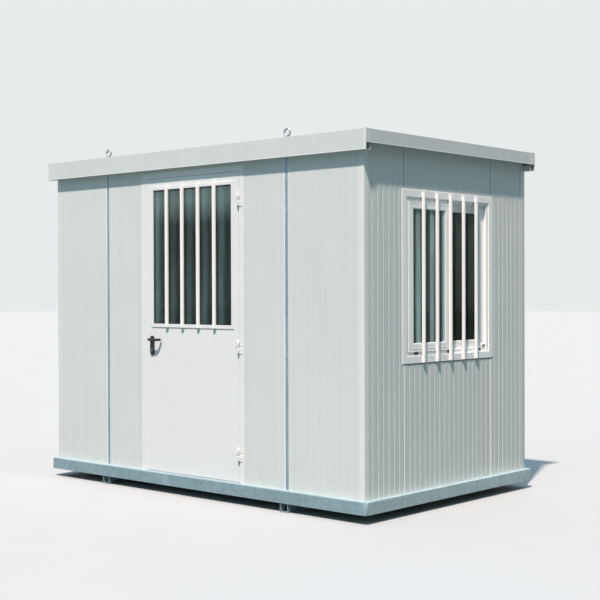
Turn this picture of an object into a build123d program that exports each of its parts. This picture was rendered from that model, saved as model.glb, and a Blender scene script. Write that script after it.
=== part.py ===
"""Portable site cabin: galvanised base, sandwich panel walls, barred door and window, flat eaves roof.

All lengths are millimetres. X runs along the door wall, Y runs to the back and Z is up.
The origin is on the ground under the middle of the wall rectangle.
"""
from build123d import *
import math
import os

os.makedirs("parts", exist_ok=True)

# ---------------------------------------------------------------- driving dimensions
# Shell
cabin_length = 3100.0
cabin_depth = 1876.0
wall_height = 2230.0
wall_thickness = 60.0
panel_module = 1000.0
grooves_per_module = 18
groove_mouth = 14.0
groove_floor = 4.0
long_wall_groove_depth = 1.0
end_wall_groove_depth = 2.4
groove_margin = 13.0
joint_bevel_width = 4.0
joint_bevel_depth = 2.5

# Base
runner_height = 60.0
runner_width = 70.0
runner_steel = 4.0
runner_inset = 5.0
rail_height = 80.0
rail_projection = 37.5
rail_flange = 100.0
rail_steel = 4.0
rail_corner_radius = 22.0
joist_count = 5
joist_width = 45.0
joist_steel = 3.0
floor_thickness = 21.0
underfloor_thickness = 2.0

# Roof edge and roof
eaves_height = 131.0
eaves_overhang = 49.0
eaves_top_flange = 100.0
side_fascia_height = 87.0
side_overhang = 56.0
side_top_flange = 110.0
roof_steel = 3.0
roof_panel_thickness = 64.0
roof_panel_bearing = 34.0
roof_rib_height = 16.0
roof_rib_top = 24.0
roof_rib_foot = 52.0
roof_rib_count = 11
roof_sheet_thickness = 2.0
roof_flange_gap = 6.0
eaves_drip_gap = 25.0
corner_cap_steel = 2.0
corner_cap_front_leg = 20.0
corner_cap_side_leg = 50.0

# Lifting posts and eyes
left_post_x = -933.0
right_post_x = 894.0
post_width = 30.0
post_depth = 56.0
post_steel = 3.0
post_recess = 2.0
eye_ring_radius = 24.5
eye_bar_height = 14.0
eye_bar_width = 13.0
eye_bar_edge = 4.0
eye_collar_radius = 17.0
eye_collar_height = 13.0
eye_inset = 61.0

# Door frame
door_frame_left_x = -548.0
door_frame_width = 1054.0
front_head_panel_height = 55.0
latch_jamb_face = 57.0
hinge_jamb_face = 46.0
head_face = 40.0
door_frame_proud = 2.0
door_stop_depth = 17.0
door_stop_cover = 12.0
threshold_height = 10.0

# Door leaf
leaf_thickness = 40.0
glazing_latch_margin = 73.5
glazing_hinge_margin = 69.5
glazing_top_margin = 84.0
glazing_sill = 1064.0
glazing_trim_face = 25.0
glazing_trim_proud = 5.0
door_glass_thickness = 20.0
door_glass_recess = 2.0

# Door hinges
lowest_hinge_margin = 137.0
top_hinge_margin = 149.0
middle_hinge_share = 0.433
hinge_length = 88.0
hinge_barrel_radius = 7.5
hinge_pin_radius = 4.0
hinge_plate_width = 32.0
hinge_plate_steel = 3.0
hinge_stand_off = 2.0
hinge_cap = 4.0

# Door handle
handle_backset = 58.0
handle_below_glazing = 115.0
handle_plate_width = 41.0
handle_plate_height = 140.0
handle_plate_above_axis = 27.0
handle_plate_thickness = 8.0
lever_neck_radius = 9.5
lever_neck_length = 15.0
lever_height = 19.0
lever_thickness = 16.0
lever_edge = 4.0
lever_reach = 95.0
lever_stand_off = 52.0
lever_bend = 20.0
lever_end_gap = 14.0
spindle_side = 8.0

# Window
window_left_y = -548.0
window_width = 1054.0
window_height = 1134.0
window_sill_height = 840.0
window_flange_face = 46.0
window_flange_proud = 3.0
window_box_wall = 25.0
jamb_liner_face = 24.0
jamb_liner_recess = 3.0
head_track_face = 21.0
sill_track_face = 29.0
track_recess = 8.0
sash_thickness = 20.0
sash_stile = 53.0
sash_rail = 50.0
meeting_stile = 70.0
sash_glass_thickness = 4.0
sash_front_recess = 2.0
track_gap = 4.0

# Clearances
running_gap = 0.05
fit_gap = 0.3
leaf_gap = 5.0
knuckle_gap = 1.0

# ---------------------------------------------------------------- derived positions
half_length = cabin_length / 2
half_depth = cabin_depth / 2
inner_half_length = half_length - wall_thickness
inner_half_depth = half_depth - wall_thickness
groove_pitch = panel_module / grooves_per_module
base_half_length = half_length + rail_projection
base_half_depth = half_depth + rail_projection
rail_top = runner_height + rail_height
wall_top = rail_top + wall_height
sheet_bottom = wall_top + roof_panel_thickness
sheet_top = sheet_bottom + roof_rib_height + roof_sheet_thickness
roof_top = sheet_top + roof_flange_gap + roof_steel
eaves_bottom = roof_top - eaves_height
eaves_half_depth = half_depth + eaves_overhang
roof_half_length = half_length + side_overhang
floor_top = rail_top + floor_thickness
post_xs = (left_post_x, right_post_x)

door_frame_right_x = door_frame_left_x + door_frame_width
door_frame_top = wall_top - front_head_panel_height
door_face_y = -half_depth - door_frame_proud
leaf_left_x = door_frame_left_x + latch_jamb_face + leaf_gap
leaf_right_x = door_frame_right_x - hinge_jamb_face - leaf_gap
leaf_bottom = rail_top + threshold_height + leaf_gap
leaf_top = door_frame_top - head_face - leaf_gap
leaf_back_y = door_face_y + leaf_thickness
leaf_height = leaf_top - leaf_bottom
glazing_left_x = leaf_left_x + glazing_latch_margin
glazing_right_x = leaf_right_x - glazing_hinge_margin
glazing_bottom = leaf_bottom + glazing_sill
glazing_top = leaf_top - glazing_top_margin
glazing_width = glazing_right_x - glazing_left_x
glazing_height = glazing_top - glazing_bottom
glazing_mid_x = (glazing_left_x + glazing_right_x) / 2
glazing_mid_z = (glazing_bottom + glazing_top) / 2
hinge_axis_x = leaf_right_x + leaf_gap / 2
hinge_axis_y = door_face_y - hinge_barrel_radius - hinge_stand_off
hinge_lows = (
    leaf_bottom + lowest_hinge_margin,
    leaf_bottom + middle_hinge_share * leaf_height - hinge_length / 2,
    leaf_top - top_hinge_margin - hinge_length,
)
handle_x = leaf_left_x + handle_backset
handle_z = glazing_bottom - handle_below_glazing

window_right_y = window_left_y + window_width
window_mid_y = (window_left_y + window_right_y) / 2
window_bottom = rail_top + window_sill_height
window_top = window_bottom + window_height
window_mid_z = (window_bottom + window_top) / 2
window_clear_width = window_width - 2 * window_flange_face
window_clear_height = window_height - 2 * window_flange_face
window_box_width = window_clear_width + 2 * window_box_wall
window_box_height = window_clear_height + 2 * window_box_wall
window_hole_width = window_box_width + 2 * fit_gap
window_hole_height = window_box_height + 2 * fit_gap
sash_bay_bottom = window_bottom + window_flange_face + sill_track_face
sash_bay_top = window_top - window_flange_face - head_track_face


def save(shape, name):
    """Label one finished subcomponent and write it to its own STEP file."""
    shape.label = name
    export_step(shape, f"parts/{name}.step")


def block(x_low, x_high, y_low, y_high, z_low, z_high):
    """Add a rectangular block, given by its limits, to the part being built."""
    with Locations(((x_low + x_high) / 2, (y_low + y_high) / 2, (z_low + z_high) / 2)):
        Box(x_high - x_low, y_high - y_low, z_high - z_low)


# ---------------------------------------------------------------- base
def side_wedge(on_long_side, side):
    """Give the corners of the 45 degree wedge that holds one side of the base rectangle."""
    reach = rail_flange + rail_projection
    inner_x = base_half_length - reach
    inner_y = base_half_depth - reach
    if on_long_side:
        return [
            (-base_half_length, side * base_half_depth),
            (base_half_length, side * base_half_depth),
            (inner_x, side * inner_y),
            (-inner_x, side * inner_y),
        ]
    return [
        (side * base_half_length, -base_half_depth),
        (side * base_half_length, base_half_depth),
        (side * inner_x, inner_y),
        (side * inner_x, -inner_y),
    ]


def base_rails(on_long_side):
    """Make a pair of channel rails, open side inward, rounded and mitred at the base corners."""
    flange_corner = rail_corner_radius - rail_steel
    layers = (
        (runner_height, rail_steel, rail_flange),
        (runner_height, rail_height, rail_steel),
        (rail_top - rail_steel, rail_steel, rail_flange),
    )
    with BuildPart() as rails:
        for side in (-1, 1):
            for low, height, depth in layers:
                with BuildSketch(Plane.XY.offset(low)):
                    RectangleRounded(2 * base_half_length, 2 * base_half_depth, rail_corner_radius)
                    RectangleRounded(
                        2 * (base_half_length - depth),
                        2 * (base_half_depth - depth),
                        flange_corner,
                        mode=Mode.SUBTRACT,
                    )
                    with BuildLine():
                        Polyline(*side_wedge(on_long_side, side), close=True)
                    make_face(mode=Mode.INTERSECT)
                extrude(amount=height)
    return rails.part


save(base_rails(True), "base_long_rails")
save(base_rails(False), "base_end_rails")

# Two square-edged tubes across the base carry the cabin on the ground under the posts.
with BuildPart() as cross_runners:
    for post_x in post_xs:
        with BuildSketch(Plane((post_x, 0, runner_height / 2), x_dir=(1, 0, 0), z_dir=(0, -1, 0))):
            Rectangle(runner_width, runner_height)
            Rectangle(
                runner_width - 2 * runner_steel,
                runner_height - 2 * runner_steel,
                mode=Mode.SUBTRACT,
            )
        extrude(amount=base_half_depth - runner_inset, both=True)
save(cross_runners.part, "cross_runners")

# A galvanised sheet closes the underside between the rail flanges.
deck_half_length = base_half_length - rail_flange
deck_half_depth = base_half_depth - rail_flange
with BuildPart() as underfloor_sheet:
    with BuildSketch(Plane.XY.offset(runner_height)):
        RectangleRounded(
            2 * deck_half_length,
            2 * deck_half_depth,
            rail_corner_radius - rail_steel,
        )
    extrude(amount=underfloor_thickness)
save(underfloor_sheet.part, "underfloor_sheet")

# Channel joists span between the long rails.
joist_bottom = runner_height + underfloor_thickness
joist_height = rail_top - joist_bottom
joist_pitch = 2 * deck_half_length / (joist_count + 1)
with BuildPart() as floor_joists:
    for index in range(joist_count):
        joist_x = -deck_half_length + joist_pitch * (index + 1)
        with BuildSketch(Plane((joist_x, 0, joist_bottom), x_dir=(1, 0, 0), z_dir=(0, -1, 0))):
            with BuildLine():
                Polyline(
                    (0, 0),
                    (joist_width, 0),
                    (joist_width, joist_steel),
                    (joist_steel, joist_steel),
                    (joist_steel, joist_height - joist_steel),
                    (joist_width, joist_height - joist_steel),
                    (joist_width, joist_height),
                    (0, joist_height),
                    close=True,
                )
            make_face()
        extrude(amount=deck_half_depth, both=True)
save(floor_joists.part, "floor_joists")

# The floor board lies on the joists and the rail flanges, inside the walls.
with BuildPart() as floor_board:
    block(
        -inner_half_length, inner_half_length,
        -inner_half_depth, inner_half_depth,
        rail_top, floor_top,
    )
save(floor_board.part, "floor_board")

# ---------------------------------------------------------------- posts and front wall
post_outer_y = half_depth - post_recess
post_inner_y = post_outer_y - post_depth
post_top = roof_top - roof_steel
post_mid_y = (post_outer_y + post_inner_y) / 2
with BuildPart() as lifting_posts:
    with BuildSketch(Plane.XY.offset(rail_top)):
        for side in (-1, 1):
            with Locations(*[(post_x, side * post_mid_y) for post_x in post_xs]):
                Rectangle(post_width, post_depth)
                Rectangle(
                    post_width - 2 * post_steel,
                    post_depth - 2 * post_steel,
                    mode=Mode.SUBTRACT,
                )
    extrude(amount=post_top - rail_top)
save(lifting_posts.part, "lifting_posts")


def panel_outline(low, high, outer, inner, phase, groove_depth):
    """Give the plan outline of one panel as (along, across) points, with its outer face grooved.

    The grooves keep to one pitch grid along the whole wall, and the outer edges are bevelled.
    """
    inward = 1 if inner > outer else -1
    groove_bed = outer + inward * groove_depth
    edge = outer + inward * joint_bevel_depth
    first = math.ceil((low + groove_margin) / groove_pitch - phase)
    last = math.floor((high - groove_margin) / groove_pitch - phase)
    points = [(low, inner), (low, edge), (low + joint_bevel_width, outer)]
    for index in range(first, last + 1):
        middle = (index + phase) * groove_pitch
        points += [
            (middle - groove_mouth / 2, outer),
            (middle - groove_floor / 2, groove_bed),
            (middle + groove_floor / 2, groove_bed),
            (middle + groove_mouth / 2, outer),
        ]
    points += [(high - joint_bevel_width, outer), (high, edge), (high, inner)]
    return points


def long_wall_panel(name, x_low, x_high, z_low, side):
    """Make one sandwich panel of the front (side -1) or rear (side 1) wall."""
    outer, inner = side * half_depth, side * inner_half_depth
    outline = panel_outline(x_low, x_high, outer, inner, 0, long_wall_groove_depth)
    with BuildPart() as panel:
        with BuildSketch(Plane.XY.offset(z_low)):
            with BuildLine():
                Polyline(*outline, close=True)
            make_face()
        extrude(amount=wall_top - z_low)
    save(panel.part, name)


def end_wall_panel(name, y_low, y_high, z_low, z_high, side):
    """Make one sandwich panel of the left (side -1) or right (side 1) end wall."""
    outer, inner = side * half_length, side * inner_half_length
    outline = panel_outline(y_low, y_high, outer, inner, 0.5, end_wall_groove_depth)
    with BuildPart() as panel:
        with BuildSketch(Plane.XY.offset(z_low)):
            with BuildLine():
                Polyline(*[(across, along) for along, across in outline], close=True)
            make_face()
        extrude(amount=z_high - z_low)
    save(panel.part, name)


half_post = post_width / 2
left_post_faces = (left_post_x - half_post, left_post_x + half_post)
right_post_faces = (right_post_x - half_post, right_post_x + half_post)
long_wall_panel("front_wall_left", -half_length, left_post_faces[0], rail_top, -1)
long_wall_panel("front_wall_latch_side", left_post_faces[1], door_frame_left_x, rail_top, -1)
long_wall_panel("front_wall_hinge_side", door_frame_right_x, right_post_faces[0], rail_top, -1)
long_wall_panel("front_wall_right", right_post_faces[1], half_length, rail_top, -1)
long_wall_panel("front_wall_head", door_frame_left_x, door_frame_right_x, door_frame_top, -1)
long_wall_panel("rear_wall_left", -half_length, left_post_faces[0], rail_top, 1)
long_wall_panel("rear_wall_middle", left_post_faces[1], right_post_faces[0], rail_top, 1)
long_wall_panel("rear_wall_right", right_post_faces[1], half_length, rail_top, 1)

# ---------------------------------------------------------------- end walls
hole_left_y = window_mid_y - window_hole_width / 2
hole_right_y = window_mid_y + window_hole_width / 2
hole_bottom = window_mid_z - window_hole_height / 2
hole_top = window_mid_z + window_hole_height / 2
end_wall_panel("left_wall", -inner_half_depth, inner_half_depth, rail_top, wall_top, -1)
end_wall_panel("right_wall_front", -inner_half_depth, hole_left_y, rail_top, wall_top, 1)
end_wall_panel("right_wall_rear", hole_right_y, inner_half_depth, rail_top, wall_top, 1)
end_wall_panel("right_wall_below_window", hole_left_y, hole_right_y, rail_top, hole_bottom, 1)
end_wall_panel("right_wall_above_window", hole_left_y, hole_right_y, hole_top, wall_top, 1)

# ---------------------------------------------------------------- roof
eaves_lip_top = wall_top
with BuildPart() as roof_panel:
    bearing_half_depth = inner_half_depth + roof_panel_bearing
    block(
        -half_length, half_length,
        -bearing_half_depth, bearing_half_depth,
        wall_top, wall_top + roof_panel_thickness,
    )
    notch_depth = bearing_half_depth - post_inner_y + fit_gap
    for side in (-1, 1):
        with Locations(
            *[
                (post_x, side * (bearing_half_depth - notch_depth / 2), wall_top)
                for post_x in post_xs
            ]
        ):
            Box(
                post_width + 2 * fit_gap,
                notch_depth,
                2 * roof_panel_thickness + 1,
                mode=Mode.SUBTRACT,
            )
save(roof_panel.part, "roof_panel")

# A ribbed weather sheet drains to both eaves channels under their top flanges.
sheet_half_depth = eaves_half_depth - eaves_drip_gap
sheet_half_length = half_length
rib_pitch = 2 * sheet_half_length / roof_rib_count
with BuildPart() as roof_sheet:
    with BuildSketch(Plane((0, 0, sheet_bottom), x_dir=(1, 0, 0), z_dir=(0, -1, 0))):
        lower = [(-sheet_half_length, 0)]
        for index in range(roof_rib_count):
            mid = -sheet_half_length + rib_pitch * (index + 0.5)
            lower += [
                (mid - roof_rib_foot / 2, 0),
                (mid - roof_rib_top / 2, roof_rib_height),
                (mid + roof_rib_top / 2, roof_rib_height),
                (mid + roof_rib_foot / 2, 0),
            ]
        lower.append((sheet_half_length, 0))
        upper = [(x, z + roof_sheet_thickness) for x, z in reversed(lower)]
        with BuildLine():
            Polyline(*lower, *upper, close=True)
        make_face()
    extrude(amount=sheet_half_depth, both=True)
    for side in (-1, 1):
        slot_depth = sheet_half_depth - post_inner_y + fit_gap
        with Locations(
            *[
                (post_x, side * (sheet_half_depth - slot_depth / 2), sheet_bottom)
                for post_x in post_xs
            ]
        ):
            Box(
                post_width + 2 * fit_gap,
                slot_depth,
                4 * roof_rib_height,
                mode=Mode.SUBTRACT,
            )
save(roof_sheet.part, "roof_sheet")


def eaves_channel(name, side):
    """Make one eaves channel: deep face, bottom web with an inner lip, and a top flange."""
    with BuildPart() as channel:
        with BuildSketch(Plane((0, 0, eaves_bottom), x_dir=(0, 1, 0), z_dir=(1, 0, 0))):
            face = side * eaves_half_depth
            lip = side * half_depth
            with BuildLine():
                Polyline(
                    (face, 0),
                    (lip, 0),
                    (lip, eaves_lip_top - eaves_bottom),
                    (lip + side * roof_steel, eaves_lip_top - eaves_bottom),
                    (lip + side * roof_steel, roof_steel),
                    (face - side * roof_steel, roof_steel),
                    (face - side * roof_steel, eaves_height - roof_steel),
                    (face - side * eaves_top_flange, eaves_height - roof_steel),
                    (face - side * eaves_top_flange, eaves_height),
                    (face, eaves_height),
                    close=True,
                )
            make_face()
        extrude(amount=roof_half_length - roof_steel, both=True)
    save(channel.part, name)


eaves_channel("front_eaves_channel", -1)
eaves_channel("rear_eaves_channel", 1)

# Side fascias cap the channel ends and close the roof edge with a top flange.
fascia_half_depth = eaves_half_depth
flange_half_depth = eaves_half_depth - eaves_top_flange
with BuildPart() as side_fascias:
    for side in (-1, 1):
        outer = sorted((side * roof_half_length, side * (roof_half_length - roof_steel)))
        inner = sorted((side * roof_half_length, side * (roof_half_length - side_top_flange)))
        block(
            outer[0], outer[1],
            -fascia_half_depth, fascia_half_depth,
            roof_top - side_fascia_height, roof_top,
        )
        block(
            inner[0], inner[1],
            -flange_half_depth, flange_half_depth,
            roof_top - roof_steel, roof_top,
        )
save(side_fascias.part, "side_fascias")

# Folded caps close the four corners of the roof edge.
cap_outer_x = roof_half_length + corner_cap_steel
cap_outer_y = eaves_half_depth + corner_cap_steel
with BuildPart() as eaves_corner_caps:
    for side_x in (-1, 1):
        for side_y in (-1, 1):
            front_leg = sorted((side_x * cap_outer_x, side_x * (cap_outer_x - corner_cap_front_leg)))
            side_leg = sorted((side_y * cap_outer_y, side_y * (cap_outer_y - corner_cap_side_leg)))
            front_skin = sorted((side_y * eaves_half_depth, side_y * cap_outer_y))
            side_skin = sorted((side_x * roof_half_length, side_x * cap_outer_x))
            block(*front_leg, *front_skin, eaves_bottom, roof_top)
            block(*side_skin, *side_leg, roof_top - side_fascia_height, roof_top)
            block(*front_leg, *side_leg, roof_top, roof_top + corner_cap_steel)
save(eaves_corner_caps.part, "eaves_corner_caps")

# Eye bolts stand on the eaves flange over each post.
eye_ring_z = roof_top + eye_collar_height + eye_ring_radius
eye_y = eaves_half_depth - eye_inset
with BuildPart() as lifting_eyes:
    for side in (-1, 1):
        for post_x in post_xs:
            ring_centre = (post_x, side * eye_y, eye_ring_z)
            with BuildSketch(Plane(ring_centre)) as eye_section:
                with Locations((eye_ring_radius, 0)):
                    Rectangle(eye_bar_height, eye_bar_width)
                chamfer(eye_section.vertices(), length=eye_bar_edge)
            revolve(axis=Axis(ring_centre, (0, 1, 0)))
            with Locations((post_x, side * eye_y, roof_top)):
                Cylinder(
                    eye_collar_radius,
                    eye_collar_height,
                    align=(Align.CENTER, Align.CENTER, Align.MIN),
                )
save(lifting_eyes.part, "lifting_eyes")

# ---------------------------------------------------------------- door frame
frame_back_y = -inner_half_depth
stop_front_y = frame_back_y - door_stop_depth


def jamb(name, outer_x, opening_x):
    """Make a door jamb with a stop behind the leaf; it runs from the rail to the frame top."""
    toward_leaf = 1 if opening_x > outer_x else -1
    stop_x = opening_x + toward_leaf * (leaf_gap + door_stop_cover)
    with BuildPart() as post:
        with BuildSketch(Plane.XY.offset(rail_top)):
            with BuildLine():
                Polyline(
                    (outer_x, door_face_y),
                    (opening_x, door_face_y),
                    (opening_x, stop_front_y),
                    (stop_x, stop_front_y),
                    (stop_x, frame_back_y),
                    (outer_x, frame_back_y),
                    close=True,
                )
            make_face()
        extrude(amount=door_frame_top - rail_top)
    save(post.part, name)


latch_opening_x = leaf_left_x - leaf_gap
hinge_opening_x = leaf_right_x + leaf_gap
jamb("door_latch_jamb", door_frame_left_x, latch_opening_x)
jamb("door_hinge_jamb", door_frame_right_x, hinge_opening_x)

# The head closes the frame between the jambs, with the same stop behind the leaf.
head_bottom = door_frame_top - head_face
head_stop_bottom = head_bottom - leaf_gap - door_stop_cover
opening_mid_x = (latch_opening_x + hinge_opening_x) / 2
opening_width = hinge_opening_x - latch_opening_x
with BuildPart() as door_head:
    with BuildSketch(Plane((opening_mid_x, 0, 0), x_dir=(0, 1, 0), z_dir=(1, 0, 0))):
        with BuildLine():
            Polyline(
                (door_face_y, door_frame_top),
                (door_face_y, head_bottom),
                (stop_front_y, head_bottom),
                (stop_front_y, door_frame_top),
                close=True,
            )
        make_face()
    extrude(amount=opening_width / 2, both=True)
    stop_length = opening_width - 2 * (leaf_gap + door_stop_cover)
    with BuildSketch(Plane((opening_mid_x, 0, 0), x_dir=(0, 1, 0), z_dir=(1, 0, 0))):
        with BuildLine():
            Polyline(
                (stop_front_y, door_frame_top),
                (stop_front_y, head_stop_bottom),
                (frame_back_y, head_stop_bottom),
                (frame_back_y, door_frame_top),
                close=True,
            )
        make_face()
    extrude(amount=stop_length / 2, both=True)
save(door_head.part, "door_head")

# Threshold plate on the rail between the jambs.
threshold_front_y = -half_depth
with BuildPart() as door_threshold:
    block(
        latch_opening_x, hinge_opening_x,
        threshold_front_y, stop_front_y,
        rail_top, rail_top + threshold_height,
    )
    block(
        latch_opening_x + leaf_gap + door_stop_cover,
        hinge_opening_x - leaf_gap - door_stop_cover,
        stop_front_y, frame_back_y,
        rail_top, floor_top,
    )
save(door_threshold.part, "door_threshold")

# ---------------------------------------------------------------- door leaf
lock_hole_radius = spindle_side
leaf_mid_y = (door_face_y + leaf_back_y) / 2
with BuildPart() as door_leaf:
    block(leaf_left_x, leaf_right_x, door_face_y, leaf_back_y, leaf_bottom, leaf_top)
    with Locations((glazing_mid_x, leaf_mid_y, glazing_mid_z)):
        Box(
            glazing_width,
            leaf_thickness + 1,
            glazing_height,
            mode=Mode.SUBTRACT,
        )
    with Locations((handle_x, leaf_mid_y, handle_z)):
        Cylinder(
            lock_hole_radius,
            leaf_thickness + 1,
            rotation=(90, 0, 0),
            mode=Mode.SUBTRACT,
        )
save(door_leaf.part, "door_leaf")


def glazing_trim(name, side):
    """Make the raised trim ring around the door glass; side -1 is outside, 1 is inside."""
    face_y = door_face_y if side < 0 else leaf_back_y
    plane = Plane((glazing_mid_x, face_y, glazing_mid_z), x_dir=(1, 0, 0), z_dir=(0, side, 0))
    with BuildPart() as trim:
        with BuildSketch(plane):
            Rectangle(
                glazing_width + 2 * glazing_trim_face,
                glazing_height + 2 * glazing_trim_face,
            )
            Rectangle(glazing_width, glazing_height, mode=Mode.SUBTRACT)
        extrude(amount=glazing_trim_proud)
    save(trim.part, name)


glazing_trim("door_glazing_trim_outside", -1)
glazing_trim("door_glazing_trim_inside", 1)

glass_front_y = door_face_y + door_glass_recess
with BuildPart() as door_glass:
    block(
        glazing_left_x, glazing_right_x,
        glass_front_y, glass_front_y + door_glass_thickness,
        glazing_bottom, glazing_top,
    )
save(door_glass.part, "door_glass")

# ---------------------------------------------------------------- hinges
half_hinge = hinge_length / 2
with BuildPart() as frame_hinges:
    for low in hinge_lows:
        with Locations((hinge_axis_x, hinge_axis_y, low)):
            Cylinder(
                hinge_barrel_radius,
                half_hinge - knuckle_gap / 2,
                align=(Align.CENTER, Align.CENTER, Align.MIN),
            )
            Cylinder(
                hinge_pin_radius,
                hinge_length - hinge_cap,
                align=(Align.CENTER, Align.CENTER, Align.MIN),
            )
        block(
            hinge_axis_x, hinge_axis_x + hinge_plate_width,
            door_face_y - hinge_plate_steel, door_face_y,
            low, low + half_hinge - knuckle_gap / 2,
        )
save(frame_hinges.part, "frame_hinges")

with BuildPart() as leaf_hinges:
    for hinge_low in hinge_lows:
        low = hinge_low + half_hinge + knuckle_gap / 2
        height = half_hinge - knuckle_gap / 2
        with Locations((hinge_axis_x, hinge_axis_y, low)):
            Cylinder(
                hinge_barrel_radius,
                height,
                align=(Align.CENTER, Align.CENTER, Align.MIN),
            )
        block(
            hinge_axis_x - hinge_plate_width, hinge_axis_x,
            door_face_y - hinge_plate_steel, door_face_y,
            low, low + height,
        )
        with Locations((hinge_axis_x, hinge_axis_y, low)):
            Cylinder(
                hinge_pin_radius + running_gap,
                height - hinge_cap + knuckle_gap,
                align=(Align.CENTER, Align.CENTER, Align.MIN),
                mode=Mode.SUBTRACT,
            )
save(leaf_hinges.part, "leaf_hinges")

# ---------------------------------------------------------------- door handle
plate_top = handle_z + handle_plate_above_axis
plate_mid_z = plate_top - handle_plate_height / 2


def handle_plate(name, side):
    """Make one back plate with rounded ends and a bore for the lever neck."""
    face_y = door_face_y if side < 0 else leaf_back_y
    with BuildPart() as plate:
        with BuildSketch(Plane((0, face_y, 0), x_dir=(1, 0, 0), z_dir=(0, -1, 0))):
            with Locations((handle_x, plate_mid_z)):
                RectangleRounded(
                    handle_plate_width,
                    handle_plate_height,
                    handle_plate_width / 2 - 1,
                )
            with Locations((handle_x, handle_z)):
                Circle(lever_neck_radius + running_gap, mode=Mode.SUBTRACT)
        extrude(amount=-side * handle_plate_thickness)
    save(plate.part, name)


handle_plate("handle_plate_outside", -1)
handle_plate("handle_plate_inside", 1)

# One handle solid: a square spindle, and on each side a round neck with a lever bent back to the door.
with BuildPart() as lever_handle:
    with Locations((handle_x, leaf_mid_y, handle_z)):
        Box(spindle_side, leaf_thickness + 2 * fit_gap, spindle_side)
    for side in (-1, 1):
        face_y = door_face_y if side < 0 else leaf_back_y
        root_y = face_y + side * fit_gap
        neck_y = face_y + side * lever_neck_length
        out_y = face_y + side * lever_stand_off
        end_y = face_y + side * lever_end_gap
        tip_x = handle_x + lever_reach
        return_bend = lever_stand_off - lever_end_gap
        with BuildSketch(Plane((handle_x, root_y, handle_z), z_dir=(0, side, 0))):
            Circle(lever_neck_radius)
        extrude(amount=lever_neck_length)
        with BuildLine() as lever_path:
            root = Line((handle_x, neck_y, handle_z), (handle_x, out_y - side * lever_bend, handle_z))
            shoulder = RadiusArc(
                root @ 1,
                (handle_x + lever_bend, out_y, handle_z),
                side * lever_bend,
            )
            grip = Line(shoulder @ 1, (tip_x - return_bend, out_y, handle_z))
            RadiusArc(grip @ 1, (tip_x, end_y, handle_z), side * return_bend)
        with BuildSketch(Plane(root @ 0, x_dir=(0, 0, 1), z_dir=root % 0)) as lever_section:
            Rectangle(lever_height, lever_thickness)
            chamfer(lever_section.vertices(), length=lever_edge)
        sweep(path=lever_path.line)
save(lever_handle.part, "lever_handle")

# ---------------------------------------------------------------- window
window_face = Plane((half_length, window_mid_y, window_mid_z), x_dir=(0, 1, 0), z_dir=(1, 0, 0))
clear_left_y = window_mid_y - window_clear_width / 2
clear_right_y = window_mid_y + window_clear_width / 2
bay_left_y = clear_left_y + jamb_liner_face
bay_right_y = clear_right_y - jamb_liner_face
sash_bay_width = bay_right_y - bay_left_y
inner_face_x = half_length - wall_thickness
with BuildPart() as window_frame:
    with BuildSketch(window_face):
        Rectangle(window_width, window_height)
        Rectangle(window_clear_width, window_clear_height, mode=Mode.SUBTRACT)
    extrude(amount=window_flange_proud)
    with BuildSketch(window_face):
        Rectangle(window_box_width, window_box_height)
        Rectangle(window_clear_width, window_clear_height, mode=Mode.SUBTRACT)
    extrude(amount=-wall_thickness)
    for liner_left_y in (clear_left_y, bay_right_y):
        block(
            inner_face_x, half_length - jamb_liner_recess,
            liner_left_y, liner_left_y + jamb_liner_face,
            sash_bay_bottom - sill_track_face, sash_bay_top + head_track_face,
        )
    block(
        inner_face_x, half_length - track_recess,
        bay_left_y, bay_right_y,
        sash_bay_bottom - sill_track_face, sash_bay_bottom,
    )
    block(
        inner_face_x, half_length - track_recess,
        bay_left_y, bay_right_y,
        sash_bay_top, sash_bay_top + head_track_face,
    )
save(window_frame.part, "window_frame")

sash_width = (sash_bay_width + meeting_stile) / 2
front_track_x = half_length - sash_front_recess
rear_track_x = front_track_x - sash_thickness - track_gap


def sash(frame_name, glass_name, side, face_x):
    """Make one sliding sash and its pane; side -1 closes to the left jamb, 1 to the right."""
    jamb_y = bay_left_y if side < 0 else bay_right_y
    y_limits = sorted((jamb_y, jamb_y - side * sash_width))
    pane_limits = sorted((jamb_y - side * sash_stile, jamb_y - side * (sash_width - meeting_stile)))
    pane_z = (sash_bay_bottom + sash_rail, sash_bay_top - sash_rail)
    pane_mid = ((pane_limits[0] + pane_limits[1]) / 2, (pane_z[0] + pane_z[1]) / 2)
    pane_face_x = face_x - (sash_thickness - sash_glass_thickness) / 2
    with BuildPart() as frame:
        block(face_x - sash_thickness, face_x, *y_limits, sash_bay_bottom, sash_bay_top)
        with Locations((face_x - sash_thickness / 2, *pane_mid)):
            Box(
                sash_thickness + 1,
                pane_limits[1] - pane_limits[0],
                pane_z[1] - pane_z[0],
                mode=Mode.SUBTRACT,
            )
    save(frame.part, frame_name)
    with BuildPart() as pane:
        block(pane_face_x - sash_glass_thickness, pane_face_x, *pane_limits, *pane_z)
    save(pane.part, glass_name)


sash("left_sash", "left_sash_glass", -1, front_track_x)
sash("right_sash", "right_sash_glass", 1, rear_track_x)
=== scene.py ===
"""Looks of the portable site cabin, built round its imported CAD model.

Every length is in metres. X runs along the door wall, Y to the back and Z up, as in the model.
"""
from collections import namedtuple
import math

import bmesh
import bpy
from mathutils import Matrix, Vector


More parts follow.
